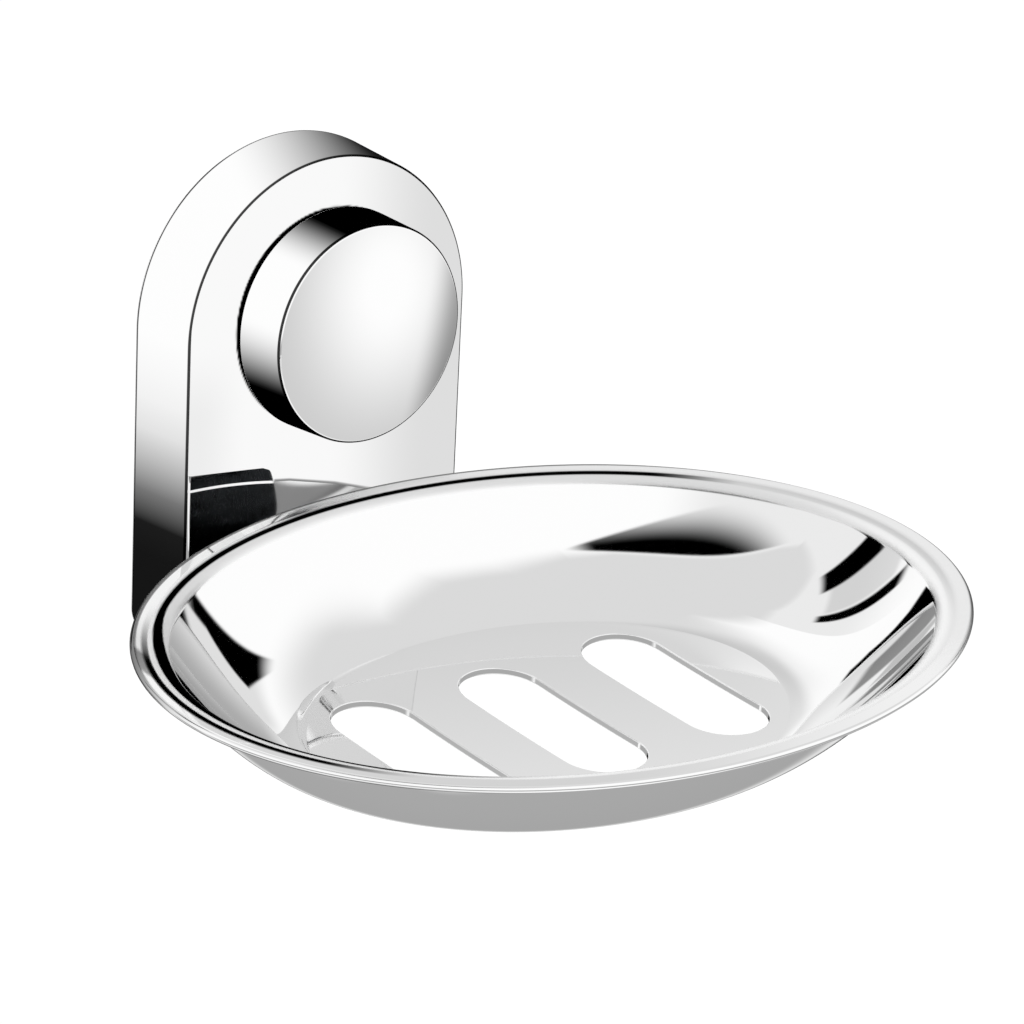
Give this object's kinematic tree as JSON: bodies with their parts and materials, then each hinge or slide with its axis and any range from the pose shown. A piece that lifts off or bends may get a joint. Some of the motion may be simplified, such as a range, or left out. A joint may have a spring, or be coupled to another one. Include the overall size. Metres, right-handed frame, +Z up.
{
  "type": "slotted soap dish",
  "caption": "Oval drained soap dish held in front of an arched suction wall holder that a round knob draws tight.",
  "frame": {"origin": "the wall, on the axis of the round knob and of the suction cup behind it", "axes": "+X along the wall to the right of a person who faces it, +Y into the wall, +Z up"},
  "size_m": [0.1492, 0.1307, 0.0846],
  "materials": {
    "plated_plastic": "mirror polished chrome plate on moulded plastic",
    "polished_steel": "mirror polished pressed steel sheet",
    "brushed_steel": "plain steel",
    "frame_plastic": "moulded grey plastic",
    "nut_brass": "turned brass",
    "washer_nylon": "natural nylon",
    "soft_clear": "soft translucent vinyl",
    "soft_black": "black rubber"
  },
  "bodies": {
    "holder": {"housing": "plated_plastic", "back_frame": "frame_plastic", "frame_screw_1": "brushed_steel", "frame_screw_2": "brushed_steel", "frame_screw_3": "brushed_steel", "frame_screw_4": "brushed_steel", "wall_bumper_1": "soft_black", "wall_bumper_2": "soft_black", "suction_cup": "soft_clear", "thrust_washer": "washer_nylon", "dish": "polished_steel", "dish_bracket": "brushed_steel", "bracket_screw_1": "brushed_steel", "bracket_screw_2": "brushed_steel", "bracket_nut_1": "brushed_steel", "bracket_nut_2": "brushed_steel"},
    "knob": {"knob_cap": "plated_plastic", "knob_core": "frame_plastic", "knob_nut": "nut_brass", "knob_clip": "brushed_steel"},
    "stud": {"draw_stud": "brushed_steel"}
  },
  "joints": [
    {"name": "knob_turn", "type": "hinge", "parent": "holder", "child": "knob", "pos_m": [0, 0, 0], "axis": [0, 1, 0], "range_deg": [0, 540]},
    {"name": "stud_draw", "type": "slide", "parent": "holder", "child": "stud", "axis": [0, -1, 0], "range_m": [0, 0.003], "deforming": ["suction_cup"]}
  ],
  "couplings": [
    {"joint": "stud_draw", "follows": "knob_turn", "m_per_rad": 0.000318}
  ]
}
